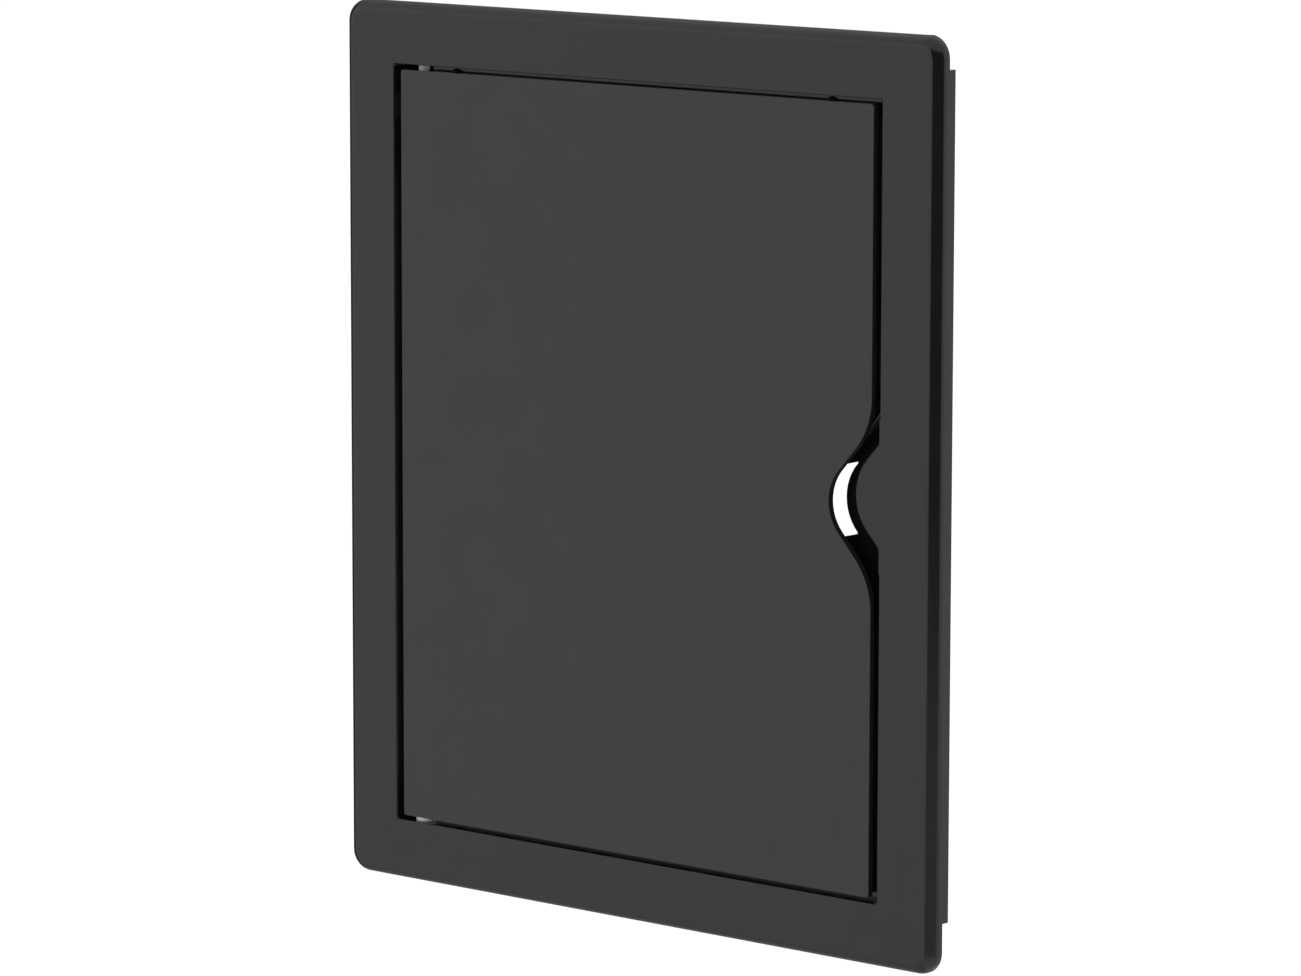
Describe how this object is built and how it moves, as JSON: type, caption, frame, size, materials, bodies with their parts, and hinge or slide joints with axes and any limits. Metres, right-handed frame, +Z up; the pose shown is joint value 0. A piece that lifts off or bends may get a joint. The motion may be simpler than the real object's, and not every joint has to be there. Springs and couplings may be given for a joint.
{
  "type": "wall access panel",
  "caption": "Flush moulded plastic wall access panel: framed inset door on vertical hinge pins, with a curved finger notch, magnetic catches and an insertion collar.",
  "frame": {"origin": "centre of the wall opening, in the plane of the wall's surface", "axes": "+X to the right seen from the room, +Y into the wall, +Z up"},
  "size_m": [0.275, 0.0264, 0.325],
  "materials": {
    "abs_anthracite": "satin gloss, injection moulded",
    "abs_black": "matt, injection moulded",
    "acetal": "natural, moulded",
    "steel_pin": "ground",
    "spring_steel": "drawn wire",
    "zinc_steel": "zinc plated",
    "ferrite": "sintered and ground",
    "rubber": "moulded"
  },
  "bodies": {
    "frame_body": {"frame": "abs_anthracite", "lower_hinge_pin": "steel_pin", "thrust_washer": "acetal", "upper_catch_housing": "abs_black", "upper_magnet": "ferrite", "lower_catch_housing": "abs_black", "lower_magnet": "ferrite", "upper_left_bumper": "rubber", "upper_right_bumper": "rubber", "lower_left_bumper": "rubber", "lower_right_bumper": "rubber"},
    "door_body": {"door_leaf": "abs_anthracite", "bolt_spring": "spring_steel", "upper_strike_plate": "zinc_steel", "lower_strike_plate": "zinc_steel"},
    "bolt_body": {"hinge_bolt": "acetal"}
  },
  "joints": [
    {"name": "door_swing", "type": "hinge", "parent": "frame_body", "child": "door_body", "pos_m": [-0.1034, 0.0002, 0], "axis": [0, 0, -1], "range_deg": [0, 110]},
    {"name": "bolt_slide", "type": "slide", "parent": "door_body", "child": "bolt_body", "axis": [0, 0, -1], "range_m": [0, 0.005], "stiffness_N_per_m": 300, "springref_m": -0.005, "deforming": ["bolt_spring"]}
  ]
}
